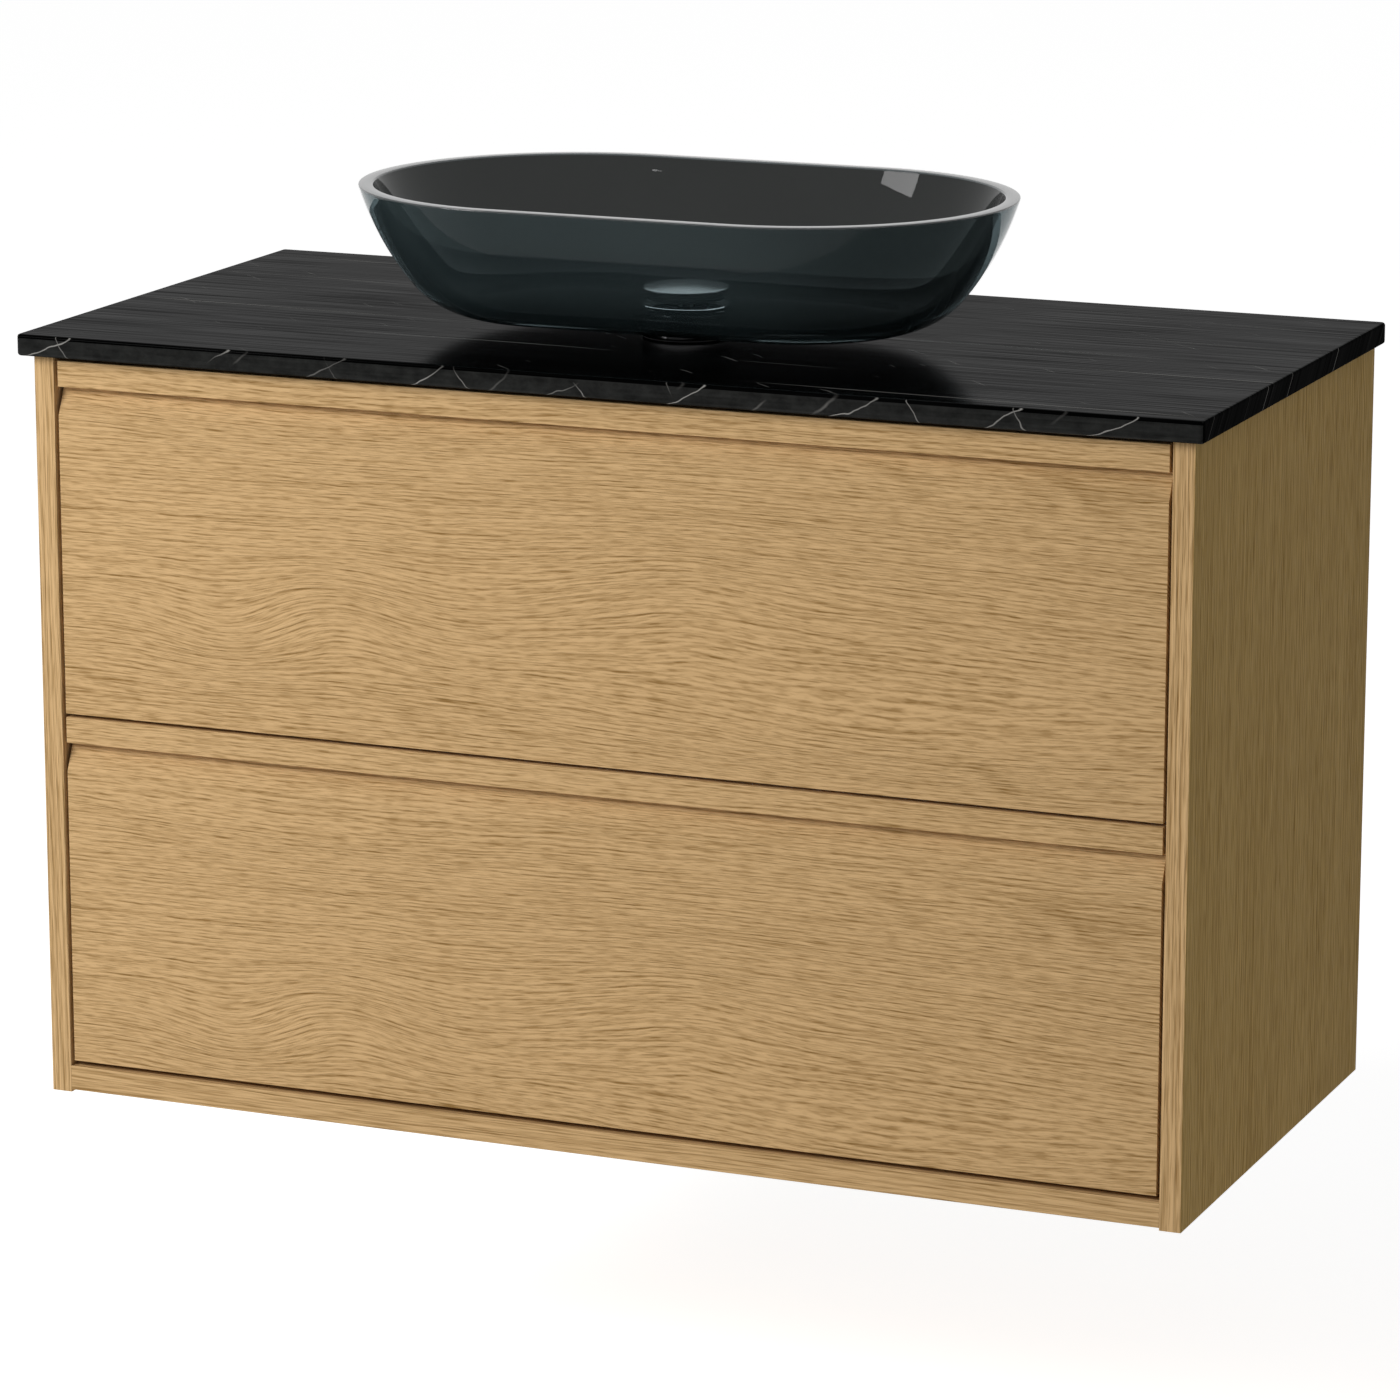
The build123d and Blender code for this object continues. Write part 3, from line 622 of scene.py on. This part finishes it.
def makeSmokedGlass(name):
    look = smoke[name]
    material, tree, shader = newMaterial(name)
    field = useGroup(tree, mottle, Place=objectPlace(tree), Stretch=smoke["cloud"])
    tint = mixColor(tree, remap(tree, field["Broad"], cloudiness["colorSpan"]), *look["tints"])
    backfacing = tree.nodes.new("ShaderNodeNewGeometry").outputs["Backfacing"]
    link(tree, mixColor(tree, backfacing, tint, look["leaving"]), shader["Base Color"])
    shader["Roughness"].default_value = 0.0
    shader["IOR"].default_value = look["ior"]
    shader["Transmission Weight"].default_value = look["clear"]
    shader["Coat Weight"].default_value = look["polish"]
    shader["Coat Roughness"].default_value = 0.0
    return material


smokedGlass = makeSmokedGlass("smokedGlass")
innerGlass = makeSmokedGlass("innerGlass")
rimGlass = makeSmokedGlass("rimGlass")
print("other finishes ready")


# Turned pieces: a half outline drawn point by point, then spun about the waste's axis
turning = {"x": 0.0, "y": -0.2855, "startSize": 0.001, "outlineMerge": 1e-6, "spinMerge": 2e-6}


def spinPiece(name, outline, steps):
    x, y = turning["x"], turning["y"]
    bpy.ops.object.select_all(action="DESELECT")
    bpy.ops.mesh.primitive_plane_add(size=turning["startSize"], location=(0, 0, 0))
    piece = bpy.context.object
    piece.name = name
    piece.data.name = name
    bpy.ops.object.mode_set(mode="EDIT")
    bpy.ops.mesh.select_mode(type="VERT")
    bpy.ops.mesh.select_all(action="SELECT")
    bpy.ops.mesh.merge(type="CENTER")
    radius, height = outline[0]
    bpy.ops.transform.translate(value=(x + radius, y, height))
    for nextRadius, nextHeight in outline[1:]:
        step = (nextRadius - radius, 0, nextHeight - height)
        bpy.ops.mesh.extrude_vertices_move(TRANSFORM_OT_translate={"value": step})
        radius, height = nextRadius, nextHeight
    bpy.ops.mesh.select_all(action="SELECT")
    bpy.ops.mesh.remove_doubles(threshold=turning["outlineMerge"])
    bpy.ops.mesh.spin(steps=steps, angle=math.tau, center=(x, y, 0), axis=(0, 0, 1))
    bpy.ops.mesh.select_all(action="SELECT")
    bpy.ops.mesh.remove_doubles(threshold=turning["spinMerge"])
    bpy.ops.mesh.normals_make_consistent(inside=False)
    bpy.ops.object.mode_set(mode="OBJECT")
    return piece


def selectNone(kind):
    bpy.ops.object.mode_set(mode="EDIT")
    bpy.ops.mesh.select_mode(type=kind)
    bpy.ops.mesh.select_all(action="DESELECT")
    bpy.ops.object.mode_set(mode="OBJECT")


def selectVertices(piece, wanted):
    selectNone("VERT")
    for vertex in piece.data.vertices:
        vertex.select = wanted(vertex.co)
    bpy.ops.object.mode_set(mode="EDIT")


def selectEdges(piece, wanted):
    selectNone("EDGE")
    points = piece.data.vertices
    for edge in piece.data.edges:
        edge.select = wanted(points[edge.vertices[0]].co, points[edge.vertices[1]].co)
    bpy.ops.object.mode_set(mode="EDIT")


def dress(piece, material, body, replaced, angle):
    # finish for a new piece: material, smooth faces, its body and the solid it stands for
    bpy.ops.object.select_all(action="DESELECT")
    piece.select_set(True)
    bpy.context.view_layer.objects.active = piece
    bpy.ops.object.shade_smooth_by_angle(angle=math.radians(angle))
    piece.data.materials.clear()
    piece.data.materials.append(material)
    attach(piece, body)
    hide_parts(replaced)


def arc(centre, radius, startTurn, endTurn, count):
    # points of an arc, turns measured from straight down towards +X
    turns = [startTurn + (endTurn - startTurn) * step / count for step in range(count + 1)]
    return [(centre[0] + radius * math.sin(turn), centre[1] - radius * math.cos(turn)) for turn in turns]


# Bowl: two tangent arcs and a flare, spun and drawn out to a stadium
bowl = {
    "bottom": 0.086,
    "rim": 0.194,
    "rimRadius": 0.1774,
    "straight": 0.2,
    "wall": 0.0115,
    "footRadius": 0.072,
    "sideRadius": 0.235,
    "sideSlope": 39.5,
    "rimSlope": 18.5,
    "rimBevel": 0.0012,
    "rimSegments": 4,
    "drainRadius": 0.0225,
    "drainSpan": (-0.01, 0.03),
    "drainSteps": 64,
    "footPoints": 22,
    "sidePoints": 16,
    "flareShares": (0.5, 1.0),
    "steps": 170,
    "endInset": 0.001,
    "middle": 1e-4,
    "level": 1e-5,
    "sameReach": 1e-4,
    "smoothAngle": 35.0,
}


def bowlOutline():
    footTurn = math.radians(90 - bowl["sideSlope"])
    sideTurn = math.radians(90 - bowl["rimSlope"])
    foot, side = bowl["footRadius"], bowl["sideRadius"]
    rise = foot * (1 - math.cos(footTurn)) + side * (math.cos(footTurn) - math.cos(sideTurn))
    reach = foot * math.sin(footTurn) + side * (math.sin(sideTurn) - math.sin(footTurn))
    lean = math.tan(math.radians(bowl["rimSlope"]))
    flat = bowl["rimRadius"] - reach - (bowl["rim"] - bowl["bottom"] - rise) * lean
    footCentre = (flat, bowl["bottom"] + foot)
    shift = foot - side
    sideCentre = (footCentre[0] + math.sin(footTurn) * shift, footCentre[1] - math.cos(footTurn) * shift)

    def wallLine(inset):
        points = arc(footCentre, foot - inset, 0, footTurn, bowl["footPoints"])
        points += arc(sideCentre, side - inset, footTurn, sideTurn, bowl["sidePoints"])[1:]
        radius, height = points[-1]
        run = bowl["rim"] - height
        points += [(radius + run * lean * share, height + run * share) for share in bowl["flareShares"]]
        return points

    outside = wallLine(0.0)
    inside = wallLine(bowl["wall"])
    floorHeight = inside[0][1]
    return [(0.0, bowl["bottom"])] + outside + inside[::-1] + [(0.0, floorHeight)]


def isRimEdge(first, second):
    # true for the two long edges of the rim's flat top, not for the short ones across it
    def reach(point):
        return math.hypot(max(abs(point.x) - bowl["straight"] / 2, 0.0), point.y - turning["y"])

    atRim = min(first.z, second.z) > bowl["rim"] - bowl["level"]
    return atRim and abs(reach(first) - reach(second)) < bowl["sameReach"]


def buildBowl():
    piece = spinPiece("glassBowl", bowlOutline(), bowl["steps"])
    half = bowl["straight"] / 2
    for sign in (1, -1):
        selectVertices(piece, lambda point, sign=sign: point.x * sign > bowl["middle"])
        bpy.ops.transform.translate(value=(half * sign, 0, 0))
        bpy.ops.object.mode_set(mode="OBJECT")
    end = half - bowl["endInset"]
    for place in (-end, end):
        bpy.ops.object.mode_set(mode="EDIT")
        bpy.ops.mesh.select_all(action="SELECT")
        bpy.ops.mesh.bisect(plane_co=(place, 0, 0), plane_no=(1, 0, 0))
        bpy.ops.object.mode_set(mode="OBJECT")
    selectEdges(piece, isRimEdge)
    bpy.ops.mesh.bevel(offset=bowl["rimBevel"], segments=bowl["rimSegments"], affect="EDGES")
    bpy.ops.object.mode_set(mode="OBJECT")

    # the hole for the waste
    low, high = [bowl["bottom"] + drop for drop in bowl["drainSpan"]]
    drainOutline = [(0.0, low), (bowl["drainRadius"], low), (bowl["drainRadius"], high), (0.0, high)]
    drain = spinPiece("drainCutter", drainOutline, bowl["drainSteps"])
    bpy.ops.object.select_all(action="DESELECT")
    bpy.context.view_layer.objects.active = piece
    cut = piece.modifiers.new("drainHole", "BOOLEAN")
    cut.operation = "DIFFERENCE"
    cut.object = drain
    bpy.ops.object.modifier_apply(modifier=cut.name)
    bpy.data.objects.remove(drain)

    dress(piece, smokedGlass, "cabinet", "glass_bowl", bowl["smoothAngle"])
    piece.data.materials.append(innerGlass)
    piece.data.materials.append(rimGlass)
    for face in piece.data.polygons:
        if face.center.z > bowl["rim"] - bowl["rimBevel"]:
            face.material_index = 2
        elif face.normal.z > 0:
            face.material_index = 1


buildBowl()
print("bowl ready")

# Waste cap: a low dome with a rounded brim on a short drum, and its stem
cap = {
    "bottom": 0.1126,
    "brim": 0.001,
    "crown": 0.003,
    "radius": 0.035,
    "drumRadius": 0.031,
    "drumWall": 0.002,
    "drumBottom": 0.1056,
    "stemRadius": 0.003,
    "stemBottom": 0.077,
    "edge": 0.0004,
    "domePoints": 20,
    "steps": 96,
    "smoothAngle": 28.0,
}


def capOutline():
    brimTop = cap["bottom"] + cap["brim"]
    dome = (cap["radius"] ** 2 + cap["crown"] ** 2) / (2 * cap["crown"])
    centre = brimTop + cap["crown"] - dome
    edgeTurn = math.asin((cap["radius"] - cap["edge"]) / dome)
    turns = [edgeTurn * step / cap["domePoints"] for step in range(cap["domePoints"] + 1)]
    points = [(dome * math.sin(turn), centre + dome * math.cos(turn)) for turn in turns]
    drumInside = cap["drumRadius"] - cap["drumWall"]
    points += [
        (cap["radius"], brimTop - cap["edge"] / 2),
        (cap["radius"], cap["bottom"] + cap["edge"]),
        (cap["radius"] - cap["edge"], cap["bottom"]),
        (cap["drumRadius"], cap["bottom"]),
        (cap["drumRadius"], cap["drumBottom"] + cap["edge"]),
        (cap["drumRadius"] - cap["edge"], cap["drumBottom"]),
        (drumInside, cap["drumBottom"]),
        (drumInside, cap["bottom"]),
        (cap["stemRadius"], cap["bottom"]),
        (cap["stemRadius"], cap["stemBottom"]),
        (0.0, cap["stemBottom"]),
    ]
    return points


wasteCap = spinPiece("wasteCap", capOutline(), cap["steps"])
dress(wasteCap, plain["satinChrome"], "waste_cap", "waste_cap", cap["smoothAngle"])

# Mounting ring under the bowl, with rounded edges
ring = {
    "low": 0.074,
    "high": 0.085,
    "outer": 0.0375,
    "inner": 0.026,
    "edge": 0.0015,
    "edgePoints": 6,
    "steps": 96,
    "smoothAngle": 40.0,
}


def ringOutline():
    edge, count = ring["edge"], ring["edgePoints"]
    across = ring["outer"] - edge
    points = [(ring["inner"], ring["low"])]
    points += arc((across, ring["low"] + edge), edge, 0, math.pi / 2, count)
    points += arc((across, ring["high"] - edge), edge, math.pi / 2, math.pi, count)
    return points + [(ring["inner"], ring["high"]), points[0]]


mountingRing = spinPiece("mountingRing", ringOutline(), ring["steps"])
dress(mountingRing, plain["darkChrome"], "cabinet", "mounting_ring", ring["smoothAngle"])
print("chrome pieces ready")

# Finishes on the solids that stay: the first name that a node's name holds gives its finish
finishes = {
    "upper_drawer_front": oakFront,
    "lower_drawer_front": oakFront,
    "side_panel": oakUpright,
    "bottom_panel": oakBottom,
    "front_rail": oakBottom,
    "back_rail": oakBottom,
    "countertop_brackets": plain["zincSteel"],
    "countertop_screws": plain["zincSteel"],
    "countertop": blackLaminate,
    "dowels": plain["beechDowel"],
    "runner": plain["zincSteel"],
    "bracket": plain["zincSteel"],
    "screws": plain["zincSteel"],
    "drawer_side": plain["greyFoil"],
    "drawer_back": plain["greyFoil"],
    "drawer_bottom": plain["greyFoil"],
    "gasket": plain["blackRubber"],
    "seal": plain["blackRubber"],
    "waste_washer": plain["blackRubber"],
    "waste_flange": plain["chromePlate"],
    "waste_nut": plain["turnedBrass"],
    "click_cartridge": plain["greyPlastic"],
    "elbow": plain["whitePlastic"],
    "cross_pipe": plain["whitePlastic"],
    "trap_bend": plain["whitePlastic"],
    "slip_nuts": plain["whitePlastic"],
}
for nodeName, solid in cadNodes.items():
    if solid.hide_render:
        continue
    finish = next((made for part, made in finishes.items() if part in nodeName), None)
    if finish is None:
        print("no finish for", nodeName)
        continue
    for slot in solid.material_slots:
        slot.material = finish
print("finishes on the solids ready")
